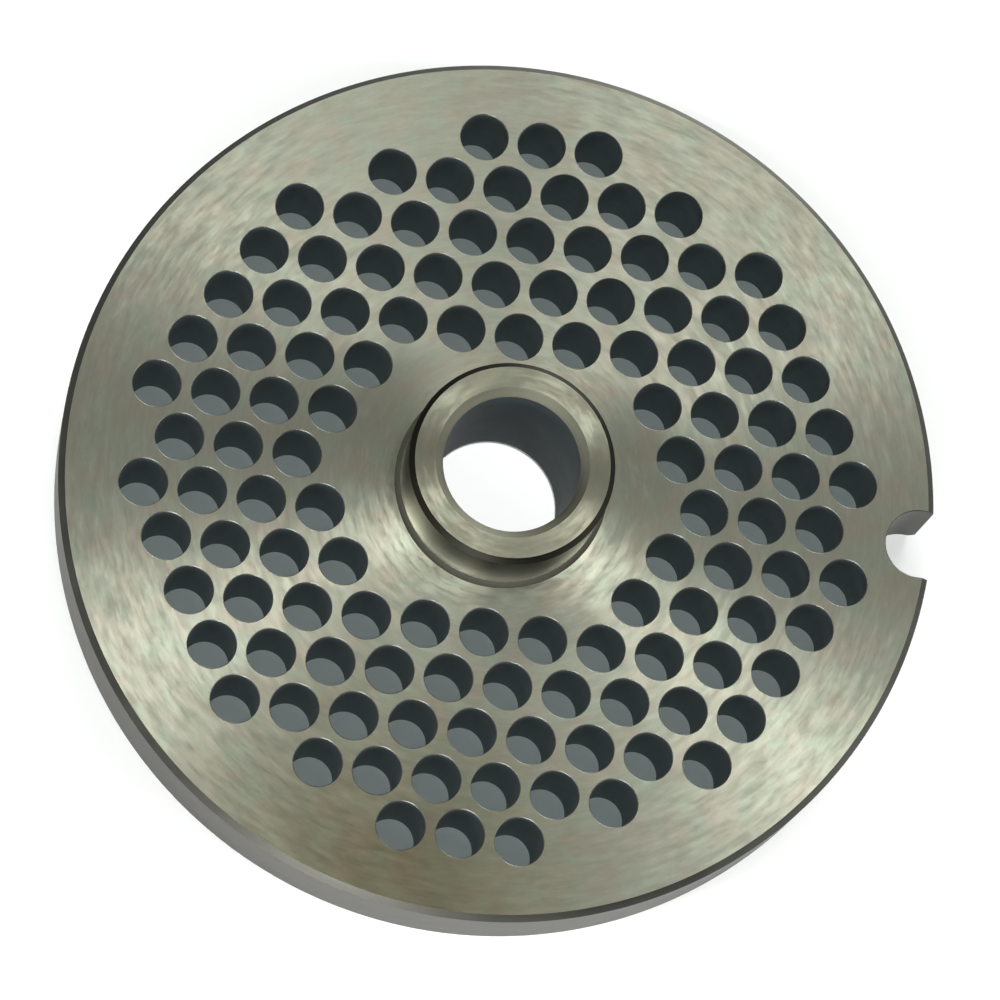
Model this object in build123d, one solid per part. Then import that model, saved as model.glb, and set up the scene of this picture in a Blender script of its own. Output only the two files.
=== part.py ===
from build123d import *
import math
import os

# Meat grinder plate: one turned, notched, drilled and ground steel disc with a raised hub.
# Millimetres. The origin is the middle of the flat cutting face, +Z points out of the hub,
# and +X points from the bore through the middle of the rim notch.

# Disc
plate_diameter = 82.0
plate_thickness = 9.5
rim_chamfer = 0.6          # on both edges of the rim

# Hub
hub_diameter = 19.0
hub_height = 8.0           # above the outer side of the disc
hub_top_chamfer = 0.5
hub_foot_leg = 0.5         # straight fillet left in the corner between hub and disc

# Bore for the stud of the worm
bore_diameter = 12.7
bore_mouth_chamfer = 0.75  # at the hub's top
bore_back_chamfer = 0.5    # at the cutting face

# Hole field: a triangular lattice whose rows run along X
hole_diameter = 4.5
hole_sides = 20            # a drilled hole is drawn as a prism of the same area, within 0.02 of round
hole_pitch = 5.48
hub_land = 2.2             # least metal between a hole and the hub's wall
rim_land = 4.75            # least metal between a hole and the rim
notch_land = 2.0           # least metal between a hole and the notch

# Notch that keys the plate to the pin in the grinder's head
notch_width = 6.4
notch_depth = 4.5          # from the rim to the notch's round end

# Places that follow from the sizes
plate_radius = plate_diameter / 2
hub_radius = hub_diameter / 2
bore_radius = bore_diameter / 2
hole_radius = hole_diameter / 2
notch_radius = notch_width / 2
hub_top = plate_thickness + hub_height
notch_centre_x = plate_radius - notch_depth + notch_radius
row_spacing = hole_pitch * math.sqrt(3) / 2
innermost_centre = hub_radius + hub_land + hole_radius
outermost_centre = plate_radius - rim_land - hole_radius


def turned_blank():
    # Half of the cross-section, from the bore's back edge round to its mouth, spun about Z
    with BuildPart() as blank:
        with BuildSketch(Plane.XZ):
            with BuildLine():
                Polyline(
                    (bore_radius, bore_back_chamfer),
                    (bore_radius + bore_back_chamfer, 0),
                    (plate_radius - rim_chamfer, 0),
                    (plate_radius, rim_chamfer),
                    (plate_radius, plate_thickness - rim_chamfer),
                    (plate_radius - rim_chamfer, plate_thickness),
                    (hub_radius + hub_foot_leg, plate_thickness),
                    (hub_radius, plate_thickness + hub_foot_leg),
                    (hub_radius, hub_top - hub_top_chamfer),
                    (hub_radius - hub_top_chamfer, hub_top),
                    (bore_radius + bore_mouth_chamfer, hub_top),
                    (bore_radius, hub_top - bore_mouth_chamfer),
                    close=True,
                )
            make_face()
        revolve(axis=Axis.Z)
    return blank.part


def notch_cutter():
    # A slot that ends in a half circle and runs out past the rim
    overrun = notch_width
    with BuildPart() as cutter:
        with BuildSketch():
            with Locations((notch_centre_x, 0)):
                Circle(notch_radius)
                Rectangle(
                    notch_depth + overrun,
                    notch_width,
                    align=(Align.MIN, Align.CENTER),
                )
        extrude(amount=plate_thickness)
    return cutter.part


def clears_notch(x, y):
    # Level with the slot only the distance across it counts, and short of it that to its round end
    reach = notch_radius + notch_land + hole_radius
    return math.hypot(min(x - notch_centre_x, 0), y) >= reach


def hole_centres():
    # Rows k at k * row_spacing. Even rows stand half a pitch aside, so the bore lies midway
    # between two places of the middle row. A place is drilled where enough metal stays round it.
    rows = math.ceil(outermost_centre / row_spacing)
    columns = math.ceil(outermost_centre / hole_pitch)
    centres = []
    for k in range(-rows, rows + 1):
        aside = hole_pitch / 2 if k % 2 == 0 else 0.0
        for j in range(-columns - 1, columns + 1):
            x = j * hole_pitch + aside
            y = k * row_spacing
            if innermost_centre <= math.hypot(x, y) <= outermost_centre and clears_notch(x, y):
                centres.append((x, y))
    return centres


def drills():
    # A regular polygon of n sides has the circle's area when its corners lie at
    # radius * sqrt(2 pi / (n sin(2 pi / n)))
    turn = 2 * math.pi / hole_sides
    corner_radius = hole_radius * math.sqrt(turn / math.sin(turn))
    with BuildPart() as cutters:
        with BuildSketch():
            with Locations(*hole_centres()):
                RegularPolygon(corner_radius, hole_sides)
        extrude(amount=plate_thickness)
    return cutters.part


grinder_plate = turned_blank() - notch_cutter() - drills()

os.makedirs("parts", exist_ok=True)
# Curves on the faces are left out of the file, because flat and round faces don't need them
export_step(grinder_plate, "parts/grinder_plate.step", write_pcurves=False)
print("holes", len(hole_centres()))
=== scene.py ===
import math

import bmesh
import bpy
import numpy as np
from mathutils import Matrix, Vector
from mathutils.geometry import delaunay_2d_cdt


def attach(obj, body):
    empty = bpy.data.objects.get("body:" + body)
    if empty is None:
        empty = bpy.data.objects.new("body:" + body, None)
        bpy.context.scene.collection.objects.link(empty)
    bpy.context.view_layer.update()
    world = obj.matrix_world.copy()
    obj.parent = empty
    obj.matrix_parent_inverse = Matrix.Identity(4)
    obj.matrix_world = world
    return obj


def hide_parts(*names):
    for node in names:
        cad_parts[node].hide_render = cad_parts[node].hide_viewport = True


# Meat grinder plate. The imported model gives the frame, and one finer mesh with the real finishes stands
# for it. Shapes are worked out in millimetres and written to Blender in metres. The origin is the middle
# of the cutting face, +Z points out of the hub and +X through the middle of the notch.
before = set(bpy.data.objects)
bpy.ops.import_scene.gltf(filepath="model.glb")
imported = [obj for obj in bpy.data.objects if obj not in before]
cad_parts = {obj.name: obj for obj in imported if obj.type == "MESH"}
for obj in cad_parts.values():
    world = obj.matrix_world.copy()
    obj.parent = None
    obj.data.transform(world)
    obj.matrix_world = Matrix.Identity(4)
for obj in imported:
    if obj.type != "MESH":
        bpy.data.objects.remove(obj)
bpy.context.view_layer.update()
mm = 0.001


# Plate

plate = {
    "radius": 40.985,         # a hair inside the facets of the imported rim
    "thickness": 9.5,
    "rimChamfer": 0.6,
    "hubRadius": 9.5,
    "hubTop": 17.5,
    "hubChamfer": 0.5,
    "footRadius": 0.5,        # fillet in the corner between hub and disc
    "boreRadius": 6.35,
    "mouthChamfer": 0.75,
    "backChamfer": 0.5,
    "holeRadius": 2.25,
    "holePitch": 5.48,
    "hubLand": 2.2,           # least metal between a hole and the hub
    "rimLand": 4.75,          # least metal between a hole and the rim
    "notchLand": 2.0,         # least metal between a hole and the notch
    "notchRadius": 3.2,
    "notchDepth": 4.5,
    "edgeBreak": 0.07,        # how far a drilled or milled edge is rubbed away
    "rimSteps": 300,
    "notchSteps": 24,
    "hubSteps": 160,
    "holeSteps": 40,
    "footSteps": 5,
    "weldWithin": 0.002,
    "sharpAngle": 24,         # in degrees: a sharper edge isn't shaded smooth
}


def holeCentres(p):
    # Triangular lattice: x = j * pitch, with half a pitch more in even rows, y = k * pitch * sqrt(3) / 2.
    # A place is kept where the least metal stays to the hub, the rim and the notch.
    span = math.ceil(p["radius"] / p["holePitch"]) + 2
    k, j = np.meshgrid(np.arange(-span, span + 1), np.arange(-span, span + 1), indexing="ij")
    x = p["holePitch"] * (j + np.where(k % 2 == 0, 0.5, 0.0))
    y = p["holePitch"] * k * math.sqrt(3) / 2
    away = np.hypot(x, y)
    slotX = p["radius"] - p["notchDepth"] + p["notchRadius"]
    fromNotch = np.hypot(np.minimum(x - slotX, 0), y)
    keep = away >= p["hubRadius"] + p["hubLand"] + p["holeRadius"]
    keep &= away <= p["radius"] - p["rimLand"] - p["holeRadius"]
    keep &= fromNotch >= p["notchRadius"] + p["notchLand"] + p["holeRadius"]
    return np.stack([x[keep], y[keep]], axis=1)


def bandFaces(count):
    # Quads between two closed rings of that many points each, numbered one ring after the other
    here = np.arange(count)
    after = (here + 1) % count
    return np.stack([here, after, count + after, count + here], axis=1)


def rimRows(p):
    # The outline in plan is an arc, a straight wall, a half circle and a straight wall, and each of its
    # points has its own chamfer: wide on the arc, a rubbed edge in the notch. Rows run from the cutting
    # face up the wall to the outer face.
    big, small = p["rimChamfer"], p["edgeBreak"]
    half = p["notchRadius"]
    slotX = p["radius"] - p["notchDepth"] + half
    corner = math.asin(half / p["radius"])
    arc = np.linspace(corner, 2 * math.pi - corner, p["rimSteps"])
    outer = np.stack([p["radius"] * np.cos(arc), p["radius"] * np.sin(arc)], axis=1)
    insetCorner = math.asin((half + small) / (p["radius"] - big))
    insetArc = np.linspace(insetCorner, 2 * math.pi - insetCorner, p["rimSteps"])
    inner = (p["radius"] - big) * np.stack([np.cos(insetArc), np.sin(insetArc)], axis=1)
    # From the lower wall inwards, round the end and out again along the upper wall
    wallX = math.sqrt((p["radius"] - big + small) ** 2 - half ** 2)
    turn = np.linspace(-math.pi / 2, -3 * math.pi / 2, p["notchSteps"] + 1)
    arch = np.stack([np.cos(turn), np.sin(turn)], axis=1)
    wall = np.array([[wallX, -half]])
    wallIn = inner[-1:]
    notch = np.concatenate([wall, [slotX, 0] + half * arch, wall * [1, -1]])
    notchIn = np.concatenate([wallIn, [slotX, 0] + (half + small) * arch, wallIn * [1, -1]])
    plan = np.concatenate([outer, notch])
    inset = np.concatenate([inner, notchIn])
    cut = np.concatenate([np.full(len(outer), big), np.full(len(notch), small)])
    top = p["thickness"]
    low = np.column_stack([inset, np.zeros(len(inset))])
    wallLow = np.column_stack([plan, cut])
    wallHigh = np.column_stack([plan, top - cut])
    high = np.column_stack([inset, np.full(len(inset), top)])
    return np.stack([low, wallLow, wallHigh, high])


def holeRows(p, centres):
    # Each drilled wall is a circle carried from the cutting face to the outer face, a little wider at
    # both ends. The axes are hole, row, step and coordinate.
    turn = np.arange(p["holeSteps"]) * 2 * math.pi / p["holeSteps"]
    ring = np.stack([np.cos(turn), np.sin(turn)], axis=1)
    top, small = p["thickness"], p["edgeBreak"]
    wide = p["holeRadius"] + small
    radii = np.array([wide, p["holeRadius"], p["holeRadius"], wide])
    heights = np.array([0, small, top - small, top])
    plan = centres[:, None, None, :] + radii[None, :, None, None] * ring[None, None, :, :]
    z = np.broadcast_to(heights[None, :, None, None], plan.shape[:3] + (1,))
    return np.concatenate([plan, z], axis=-1)


def turnedProfile(p):
    # Radius and height from the foot of the hub over its top and down the bore, with the fillet as a
    # quarter circle: radius = hub + foot - foot * sin(a), height = face + foot - foot * cos(a)
    foot = p["footRadius"]
    sweep = np.linspace(0, math.pi / 2, p["footSteps"] + 1)
    fillet = np.stack([
        p["hubRadius"] + foot - foot * np.sin(sweep),
        p["thickness"] + foot - foot * np.cos(sweep),
    ], axis=1)
    top, hub, bore = p["hubTop"], p["hubRadius"], p["boreRadius"]
    edge, mouth, back = p["hubChamfer"], p["mouthChamfer"], p["backChamfer"]
    rest = np.array([
        [hub, top - edge],
        [hub - edge, top],
        [bore + mouth, top],
        [bore, top - mouth],
        [bore, back],
        [bore + back, 0],
    ])
    return np.concatenate([fillet, rest])


def revolved(profile, steps):
    # Each point of the profile carried round Z
    turn = np.arange(steps) * 2 * math.pi / steps
    x = profile[:, :1] * np.cos(turn)
    y = profile[:, :1] * np.sin(turn)
    z = np.broadcast_to(profile[:, 1:], x.shape)
    return np.stack([x, y, z], axis=-1)


def flatFace(outline, openings, z, upwards):
    # Triangles between the outline and the openings, by a constrained Delaunay triangulation. Each opening
    # is round, so a triangle with all its corners on one opening's loop lies in it and is dropped.
    loops = [outline] + openings
    points = np.concatenate(loops)
    loopOf = np.repeat(np.arange(len(loops)), [len(loop) for loop in loops])
    starts = np.cumsum([0] + [len(loop) for loop in loops])
    edges = [
        np.column_stack([np.arange(a, b), np.roll(np.arange(a, b), -1)])
        for a, b in zip(starts[:-1], starts[1:])
    ]
    insideOnly, tolerance = 1, 1e-7
    found = delaunay_2d_cdt(
        [Vector(point) for point in points.tolist()],
        np.concatenate(edges).tolist(), [], insideOnly, tolerance,
    )
    flat = np.array([tuple(v) for v in found[0]])
    owner = loopOf[[source[0] for source in found[3]]]
    faces = np.array(found[2])
    a, b, c = (owner[faces[:, i]] for i in range(3))
    faces = faces[~((a == b) & (b == c) & (a > 0))]
    a, b, c = (flat[faces[:, i]] for i in range(3))
    turnsLeft = (b[:, 0] - a[:, 0]) * (c[:, 1] - a[:, 1]) > (b[:, 1] - a[:, 1]) * (c[:, 0] - a[:, 0])
    wrong = turnsLeft != upwards
    faces[wrong] = faces[wrong][:, ::-1]
    return np.column_stack([flat, np.full(len(flat), z)]), faces


def plateParts(p):
    # Points, faces and finish of each band and face of the plate
    centres = holeCentres(p)
    print("holes", len(centres))
    rim = rimRows(p)
    holes = holeRows(p, centres)
    hub = revolved(turnedProfile(p), p["hubSteps"])
    parts = []

    def add(vertices, faces, finish):
        parts.append((vertices.reshape(-1, 3), faces, finish))

    # Rim: chamfer, wall, chamfer
    for row, finish in ((0, "edge"), (1, "rimWall"), (2, "edge")):
        add(rim[row:row + 2], bandFaces(rim.shape[1]), finish)

    # Holes: a band of all the walls at once, and one of the rubbed edges at each end
    count, _, steps, _ = holes.shape
    quads = bandFaces(steps)[:, ::-1] + (np.arange(count) * 2 * steps)[:, None, None]
    for row, finish in ((0, "burr"), (1, "drilled"), (2, "burr")):
        add(holes[:, row:row + 2], quads.reshape(-1, 4), finish)

    # Hub and bore, from the foot over the top and down to the cutting face
    bands = ["foot"] * p["footSteps"] + ["hubWall", "hubEdgeShade", "ground", "mouth", "bore", "mouth"]
    for row, finish in enumerate(bands):
        add(hub[row:row + 2], bandFaces(p["hubSteps"]), finish)

    # Flat faces
    for row, hubRow, z in ((3, 0, p["thickness"]), (0, -1, 0.0)):
        openings = [hub[hubRow, :, :2]] + [hole[row, :, :2] for hole in holes]
        add(*flatFace(rim[row, :, :2], openings, z, z > 0), "ground")
    return parts


def buildPlate(p, name, materials):
    parts = plateParts(p)
    vertices = np.concatenate([part[0] for part in parts]) * mm
    starts = np.cumsum([0] + [len(part[0]) for part in parts])
    order = list(materials)
    faces = []
    slots = []
    for (_, corners, finish), start in zip(parts, starts):
        faces += (corners + start).tolist()
        slots += [order.index(finish)] * len(corners)
    mesh = bpy.data.meshes.new(name)
    mesh.from_pydata(vertices.tolist(), [], faces)
    mesh.polygons.foreach_set("material_index", slots)
    for finish in order:
        mesh.materials.append(materials[finish])

    # The bands meet point on point, so they are welded into one closed skin
    work = bmesh.new()
    work.from_mesh(mesh)
    bmesh.ops.remove_doubles(work, verts=work.verts, dist=p["weldWithin"] * mm)
    openEdges = sum(not edge.is_manifold for edge in work.edges)
    volume = work.calc_volume(signed=True)
    work.to_mesh(mesh)
    work.free()
    mesh.polygons.foreach_set("use_smooth", [True] * len(mesh.polygons))
    mesh.set_sharp_from_angle(angle=math.radians(p["sharpAngle"]))
    piece = bpy.data.objects.new(name, mesh)
    bpy.context.scene.collection.objects.link(piece)
    triangles = sum(len(face.vertices) - 2 for face in mesh.polygons)
    print("plate triangles", triangles, "open edges", openEdges, "volume mm3", round(volume / mm ** 3, 1))
    return piece


# Finishes. Lengths are in mm, and marks are counted per mm.

groundFace = {
    "bright": (0.60, 0.62, 0.515),        # warm grey of the ground faces
    "dull": (0.49, 0.506, 0.415),         # the same steel where it is duller
    "brown": (1.0, 0.925, 0.88),          # what the soft patches lean to
    "green": (0.94, 1.0, 0.94),
    "bottomShade": (0.49, 0.455, 0.375),        # painted shade: the face darker and browner by the rim at the bottom
    "bottomShadeAt": (-6.0, -40.0, 0.0),
    "bottomShadeReach": (5, 25),                # where it starts and ends to fade out
    "hubTopShade": (0.80, 0.79, 0.75),    # the hub's top beside the face
    "hubTopFrom": (12, 15),               # heights between face and hub's top
    # Marks across and along the grinding rings, where the noise starts, and its octaves beyond the first
    "strokes": (3.0, 0.70, 3.1, 2.0),
    "rings": (4.5, 0.13, 8.7, 3.0),
    "broad": (1.5, 0.34, 5.3, 4.0),
    # Marks every way, and octaves
    "clouds": (0.9, 2.0),
    "patches": (0.33, 3.0),
    "fineShare": 0.6,                     # how strong each octave is beside the one before
    "strokeShare": 0.25,                  # how much each of them gives to the swing
    "ringShare": 0.1,
    "cloudShare": 0.15,
    "broadShare": 0.5,
    "hubRelief": 1.7,                     # how many times deeper the relief is next to the hub
    "hubReliefReach": (10, 17),           # radii between which that fades out
    "relief": 0.010,                      # from the swing's lowest to its highest
    "colourSwing": (-0.12, 0.12),         # swing from all dull to all bright
    "patchSwing": (0.36, 0.64),           # noise from all brown to all green
    "glossSwing": (-0.16, 0.2),           # swing from the lowest roughness to the highest
    "roughness": (0.29, 0.49),
    "grain": 0.82,                        # how much the grinding rings stretch a highlight
}

turned = {
    "around": 0.06,                       # marks along a lathe line
    "octaves": 2.0,
    "clouds": (0.3, 3.0),
    "fineShare": 0.5,
    "toneSwing": (0.35, 0.65),            # noise from the darker colour to the full one
    "glossSwing": (0.3, 0.7),
    "glossRange": 0.06,                   # either side of the middle roughness
    "contrast": 0.25,                     # how much darker the darker colour is
    "relief": 0.008,
    "reliefStrength": 0.3,
    "specular": 0.1,
    "edgeOn": (0.7, 0.7, 0.7),            # share of the mirror left when the steel is seen edge on
}

hubWall = {
    "bare": (0.72, 0.70, 0.64),           # the steel at the wall's foot
    "wallShade": (0.022, 0.021, 0.017),        # painted shade, darkening the wall towards the top edge
    "foot": 10.1,                         # height where the painted shade starts
    "fade": 2.4,                          # the unshaded share falls e times over this height
    "ragged": 0.6,                        # how far the lathe lines break up the painted shade
    "lathe": (0.15, 3.0, 3.0, 0.5),       # marks along a line, lines, octaves and their share
    "glossSwing": (0.3, 0.7),
    "roughness": (0.29, 0.37),
    "relief": 0.008,
    "reliefStrength": 0.3,
    "edgeOn": (0.6, 0.6, 0.58),
}

# The other surfaces: colour, roughness, lathe lines and how metallic. The bore's dark colour is painted
# shade.
plainSteel = {
    # The rim's side wall: its dark colour is painted shade, darker than the steel of the faces
    "rimWall": ((0.125, 0.121, 0.11), 0.42, 4.0, 1.0),
    "burr": ((0.16, 0.16, 0.14), 0.5, 4.0, 1.0),
    "edge": ((0.06, 0.06, 0.052), 0.5, 4.0, 1.0),
    # The hub's top edge: its near-black colour is painted shade, a dark ring round the hub's top
    "hubEdgeShade": ((0.018, 0.018, 0.014), 0.5, 4.0, 1.0),
    # The fillet at the hub's foot: its dark colour is painted shade in the corner
    "foot": ((0.11, 0.11, 0.088), 0.9, 4.0, 1.0),
    "drilled": ((0.23, 0.265, 0.28), 0.45, 2.5, 1.0),
    # The bore: its near-black colour is painted shade down the hole
    "bore": ((0.022, 0.034, 0.037), 0.6, 3.0, 0.25),
    "mouth": ((0.17, 0.17, 0.13), 0.7, 4.0, 1.0),
}


def addNode(tree, kind, sockets=None, **settings):
    # One shader node with its settings, and its sockets linked or set
    made = tree.nodes.new("ShaderNode" + kind)
    for key, value in settings.items():
        setattr(made, key, value)
    for key, value in (sockets or {}).items():
        if isinstance(value, bpy.types.NodeSocket):
            tree.links.new(value, made.inputs[key])
        else:
            made.inputs[key].default_value = value
    return made


def maths(tree, operation, a, b=0.0, c=0.0):
    return addNode(tree, "Math", {0: a, 1: b, 2: c}, operation=operation).outputs[0]


def scaled(tree, place, factors):
    return addNode(tree, "VectorMath", {0: place, 1: factors}, operation="MULTIPLY").outputs[0]


def length(tree, vector):
    return addNode(tree, "VectorMath", {0: vector}, operation="LENGTH").outputs["Value"]


def noise(tree, place, scale, octaves, fineShare):
    sockets = {"Vector": place, "Scale": scale, "Detail": octaves, "Roughness": fineShare}
    return addNode(tree, "TexNoise", sockets).outputs["Fac"]


def cloudNoise(tree, place, perMm, octaves, fineShare):
    return noise(tree, place, perMm / mm, octaves, fineShare)


def latheNoise(tree, place, around, lines, octaves, fineShare):
    # Noise drawn out round Z and close along it, so on a wall it is level lines
    perMetre = (around / mm, around / mm, lines / mm)
    return noise(tree, scaled(tree, place, perMetre), 1.0, octaves, fineShare)


def spread(tree, value, fromRange, toRange=(0.0, 1.0)):
    # The value carried from one range to the other, and held at its ends
    made = addNode(tree, "MapRange", {
        "Value": value,
        "From Min": fromRange[0],
        "From Max": fromRange[1],
        "To Min": toRange[0],
        "To Max": toRange[1],
    }, clamp=True)
    return made.outputs["Result"]


def mixColour(tree, amount, a, b, blend="MIX"):
    # The amount, a and b are sockets or plain values
    made = tree.nodes.new("ShaderNodeMix")
    made.data_type = "RGBA"
    made.blend_type = blend
    colours = [s for s in made.inputs if s.type == "RGBA"]
    for socket, value in ((made.inputs["Factor"], amount), (colours[0], a), (colours[1], b)):
        if isinstance(value, bpy.types.NodeSocket):
            tree.links.new(value, socket)
        elif socket.type == "RGBA":
            socket.default_value = (*value, 1.0)
        else:
            socket.default_value = value
    return next(s for s in made.outputs if s.type == "RGBA")


def ringNoise(tree, flat, across, along, start, octaves, fineShare):
    # Noise drawn out along rings about Z: its place is (radius * across, x * along + start, y * along)
    parts = addNode(tree, "SeparateXYZ", {0: flat})
    at = addNode(tree, "CombineXYZ", {
        0: maths(tree, "MULTIPLY", length(tree, flat), across / mm),
        1: maths(tree, "MULTIPLY_ADD", parts.outputs[0], along / mm, start),
        2: maths(tree, "MULTIPLY", parts.outputs[1], along / mm),
    }).outputs[0]
    return noise(tree, at, 1.0, octaves, fineShare)


def newMaterial(name):
    material = bpy.data.materials.new(name)
    material.use_nodes = True
    tree = material.node_tree
    tree.nodes.clear()
    out = tree.nodes.new("ShaderNodeOutputMaterial")
    shader = tree.nodes.new("ShaderNodeBsdfPrincipled")
    tree.links.new(shader.outputs[0], out.inputs["Surface"])
    shader.inputs["Metallic"].default_value = 1.0
    place = tree.nodes.new("ShaderNodeTexCoord").outputs["Object"]
    return material, tree, shader, place


def addRelief(tree, shader, height, strength, distance):
    bump = addNode(tree, "Bump", {"Strength": strength, "Distance": distance * mm, "Height": height})
    tree.links.new(bump.outputs[0], shader.inputs["Normal"])


def grindingSwing(tree, place, flat, s):
    # Rings left by the grinding wheel, broken into short strokes, about zero:
    # swing = (strokes, rings, clouds and broad strokes by their shares - 0.5) * depth
    fine = s["fineShare"]
    strokes = ringNoise(tree, flat, *s["strokes"], fine)
    rings = ringNoise(tree, flat, *s["rings"], fine)
    clouds = cloudNoise(tree, place, *s["clouds"], fine)
    broad = ringNoise(tree, flat, *s["broad"], fine)
    total = maths(tree, "MULTIPLY", rings, s["ringShare"])
    total = maths(tree, "MULTIPLY_ADD", strokes, s["strokeShare"], total)
    total = maths(tree, "MULTIPLY_ADD", clouds, s["cloudShare"], total)
    total = maths(tree, "MULTIPLY_ADD", broad, s["broadShare"], maths(tree, "SUBTRACT", total, 0.5))
    # The strokes are deepest next to the hub, where the wheel turned on the spot
    reach = [v * mm for v in s["hubReliefReach"]]
    depth = spread(tree, length(tree, flat), reach, (s["hubRelief"], 1.0))
    return maths(tree, "MULTIPLY", total, depth)


def groundSteel(s):
    # Grinding strokes in colour, gloss and relief, over soft patches that lean a little to green or brown
    material, tree, shader, place = newMaterial("groundSteel")
    flat = scaled(tree, place, (1, 1, 0))
    swing = grindingSwing(tree, place, flat, s)
    colour = mixColour(tree, spread(tree, swing, s["colourSwing"]), s["dull"], s["bright"])
    patches = cloudNoise(tree, place, *s["patches"], s["fineShare"])
    hue = mixColour(tree, spread(tree, patches, s["patchSwing"]), s["brown"], s["green"])
    colour = mixColour(tree, 1.0, colour, hue, "MULTIPLY")
    # Painted shade: the face is made darker and browner by the rim at the bottom
    bottomShadeAt = [v * mm for v in s["bottomShadeAt"]]
    fromBottomShade = addNode(tree, "VectorMath", {0: flat, 1: bottomShadeAt}, operation="DISTANCE").outputs["Value"]
    bottomShadeShare = spread(tree, fromBottomShade, [v * mm for v in s["bottomShadeReach"]], (1.0, 0.0))
    colour = mixColour(tree, bottomShadeShare, colour, mixColour(tree, 1.0, colour, s["bottomShade"], "MULTIPLY"))
    height = addNode(tree, "SeparateXYZ", {0: place}).outputs[2]
    onHub = spread(tree, height, [v * mm for v in s["hubTopFrom"]])
    colour = mixColour(tree, onHub, colour, mixColour(tree, 1.0, colour, s["hubTopShade"], "MULTIPLY"))
    tree.links.new(colour, shader.inputs["Base Color"])
    tree.links.new(spread(tree, swing, s["glossSwing"], s["roughness"]), shader.inputs["Roughness"])
    # A quarter turn lays the highlight across the rings
    shader.inputs["Anisotropic"].default_value = s["grain"]
    shader.inputs["Anisotropic Rotation"].default_value = 0.25
    tangent = addNode(tree, "Tangent", direction_type="RADIAL", axis="Z")
    tree.links.new(tangent.outputs[0], shader.inputs["Tangent"])
    addRelief(tree, shader, swing, 1.0, s["relief"])
    return material


def turnedSteel(s, name, colour, roughness, lines, metallic):
    # Fine lathe rings under soft clouds, half and half, in colour and gloss
    material, tree, shader, place = newMaterial(name)
    rings = latheNoise(tree, place, s["around"], lines, s["octaves"], s["fineShare"])
    clouds = cloudNoise(tree, place, *s["clouds"], s["fineShare"])
    tone = maths(tree, "MULTIPLY_ADD", rings, 0.5, maths(tree, "MULTIPLY", clouds, 0.5))
    darker = tuple(c * (1 - s["contrast"]) for c in colour)
    mixed = mixColour(tree, spread(tree, tone, s["toneSwing"]), darker, colour)
    gloss = spread(tree, tone, s["glossSwing"], (roughness - s["glossRange"], roughness + s["glossRange"]))
    tree.links.new(mixed, shader.inputs["Base Color"])
    tree.links.new(gloss, shader.inputs["Roughness"])
    shader.inputs["Metallic"].default_value = metallic
    shader.inputs["Specular IOR Level"].default_value = s["specular"]
    shader.inputs["Specular Tint"].default_value = (*s["edgeOn"], 1.0)
    addRelief(tree, shader, rings, s["reliefStrength"], s["relief"])
    return material


def hubSteel(s):
    # Lathe rings on the hub's wall, under painted shade that darkens it towards the top edge: bare share =
    # exp(-(height - foot) / fade), with the lathe lines added to the exponent and the share held at 1
    material, tree, shader, place = newMaterial("hubSteel")
    rings = latheNoise(tree, place, *s["lathe"])
    height = addNode(tree, "SeparateXYZ", {0: place}).outputs[2]
    # Painted shade: the wall's colour goes dark towards its top edge
    above = maths(tree, "MULTIPLY_ADD", height, -1 / (s["fade"] * mm), s["foot"] / s["fade"])
    ragged = maths(tree, "MULTIPLY_ADD", rings, s["ragged"], maths(tree, "ADD", above, -s["ragged"] / 2))
    bare = maths(tree, "MINIMUM", maths(tree, "EXPONENT", ragged), 1.0)
    tree.links.new(mixColour(tree, bare, s["wallShade"], s["bare"]), shader.inputs["Base Color"])
    tree.links.new(spread(tree, rings, s["glossSwing"], s["roughness"]), shader.inputs["Roughness"])
    shader.inputs["Specular Tint"].default_value = (*s["edgeOn"], 1.0)
    addRelief(tree, shader, rings, s["reliefStrength"], s["relief"])
    return material


finishes = {"ground": groundSteel(groundFace), "hubWall": hubSteel(hubWall)}
for surface, look in plainSteel.items():
    finishes[surface] = turnedSteel(turned, surface + "Steel", *look)
print("finishes made", len(finishes))

grinderPlate = buildPlate(plate, "grinder_plate_ground", finishes)
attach(grinderPlate, "root")
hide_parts("grinder_plate")


# Floor, light and camera

studio = {
    "floorSize": 3.0,
    "floorDrop": 0.02,                    # in mm below the cutting face
    "floorColour": (0.88, 0.88, 0.87),
    "floorRoughness": 0.9,
    "floorGlow": (0.105, 0.125, 0.12),    # the floor is a softly lit table
    "worldColour": (0.80, 0.82, 0.85),
    "worldStrength": 0.04,
    # A narrow lamp over the bore: height, cone in degrees, share of the cone that is soft, power
    "boreLamp": (0.6, 1.25, 0.1, 13.0),
    "softboxDistance": 1.2,
    "softboxWidth": 0.40,
    # Each softbox: heading and height above the floor in degrees, power
    "softboxes": {
        "windowRight": (340, 44, 3.95),
        "windowLeft": (200, 44, 10.05),
        "overheadBehind": (60, 75, 0.38),
        "aboveCamera": (216, 60, 1.48),
        "behind": (100, 44, 1.44),
        "sideRight": (345, 27, 9.6),
        "behindLow": (75, 8, 12.0),
        "behindLowRight": (60, 8, 9.0),
        "frontLow": (255, 8, 17.5),
        "frontRight": (288, 60, 0.75),
        "frontLeft": (252, 60, 0.95),
    },
}


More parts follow.
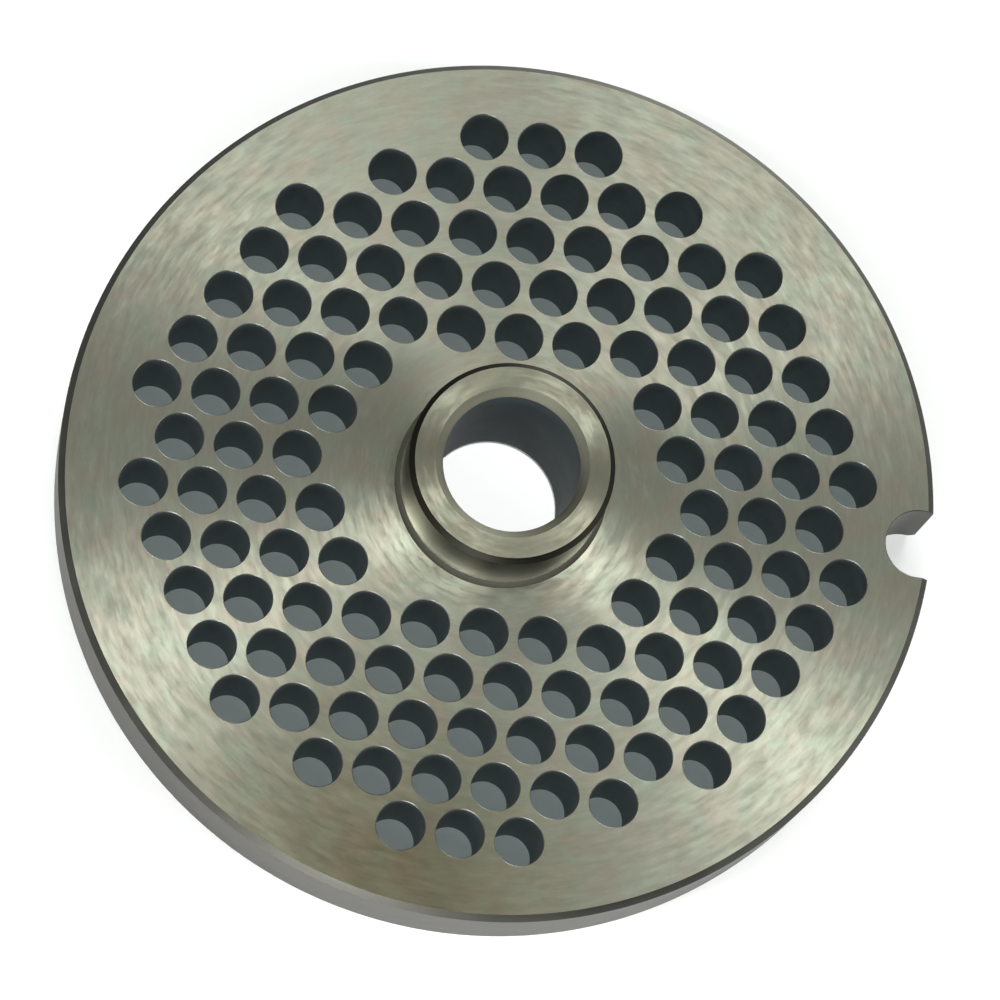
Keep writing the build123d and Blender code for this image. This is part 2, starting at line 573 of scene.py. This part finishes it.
def buildFloor(s):
    # A plain sheet just under z = 0, which the plate's cutting face lies on
    half = s["floorSize"] / 2
    corners = [(-half, -half, 0), (half, -half, 0), (half, half, 0), (-half, half, 0)]
    mesh = bpy.data.meshes.new("floor")
    mesh.from_pydata(corners, [], [(0, 1, 2, 3)])
    material = bpy.data.materials.new("floorPaper")
    material.use_nodes = True
    shader = material.node_tree.nodes["Principled BSDF"]
    shader.inputs["Base Color"].default_value = (*s["floorColour"], 1.0)
    shader.inputs["Roughness"].default_value = s["floorRoughness"]
    shader.inputs["Emission Color"].default_value = (*s["floorGlow"], 1.0)
    shader.inputs["Emission Strength"].default_value = 1.0
    mesh.materials.append(material)
    floor = bpy.data.objects.new("floor", mesh)
    floor.location.z = -s["floorDrop"] * mm
    bpy.context.scene.collection.objects.link(floor)


def addSoftbox(name, heading, elevation, power, distance, width):
    # A round lamp that looks at the plate from that heading and height
    a, e = math.radians(heading), math.radians(elevation)
    place = distance * Vector((math.cos(a) * math.cos(e), math.sin(a) * math.cos(e), math.sin(e)))
    lamp = bpy.data.lights.new(name, "AREA")
    lamp.shape = "DISK"
    lamp.size = width
    lamp.energy = power
    made = bpy.data.objects.new(name, lamp)
    made.location = place
    made.rotation_mode = "QUATERNION"
    made.rotation_quaternion = place.to_track_quat("Z", "Y")
    bpy.context.scene.collection.objects.link(made)


def addBoreLamp(height, cone, softShare, power):
    # A spot lamp straight above the bore, narrow enough to pass through it and light the floor below
    lamp = bpy.data.lights.new("boreLamp", "SPOT")
    lamp.spot_size = math.radians(cone)
    lamp.spot_blend = softShare
    lamp.shadow_soft_size = 0.0
    lamp.energy = power
    made = bpy.data.objects.new("boreLamp", lamp)
    made.location = (0, 0, height)
    bpy.context.scene.collection.objects.link(made)


def lightWorld(s):
    # A little even light from all sides
    world = bpy.data.worlds.new("studio")
    world.use_nodes = True
    background = world.node_tree.nodes["Background"]
    background.inputs["Color"].default_value = (*s["worldColour"], 1.0)
    background.inputs["Strength"].default_value = s["worldStrength"]
    bpy.context.scene.world = world


# The camera's right, up and back directions and its place in mm, fitted to the holes in the photograph
view = {
    "right": (0.98483916, 0.11389437, 0.13084300),
    "up": (-0.14280893, 0.96050603, 0.23881744),
    "back": (-0.09847553, -0.25388232, 0.96220909),
    "place": (-44.2647, -115.8228, 442.3401),
    "focal": 4854.79,         # in pixels
    "frame": 1000,            # width of the picture in pixels
    "sensor": 36.0,
    "clip": (0.01, 20.0),     # in m
}


def addCamera(v):
    lens = bpy.data.cameras.new("camera")
    lens.sensor_width = v["sensor"]
    lens.lens = v["focal"] * v["sensor"] / v["frame"]
    lens.clip_start, lens.clip_end = v["clip"]
    camera = bpy.data.objects.new("camera", lens)
    turn = Matrix((v["right"], v["up"], v["back"])).transposed()
    camera.matrix_world = Matrix.Translation(Vector(v["place"]) * mm) @ turn.to_4x4()
    bpy.context.scene.collection.objects.link(camera)
    bpy.context.scene.camera = camera


buildFloor(studio)
lightWorld(studio)
addBoreLamp(*studio["boreLamp"])
for lampName, setting in studio["softboxes"].items():
    addSoftbox(lampName, *setting, studio["softboxDistance"], studio["softboxWidth"])
addCamera(view)
bpy.context.scene.view_settings.view_transform = "Standard"
print("floor, light and camera made")
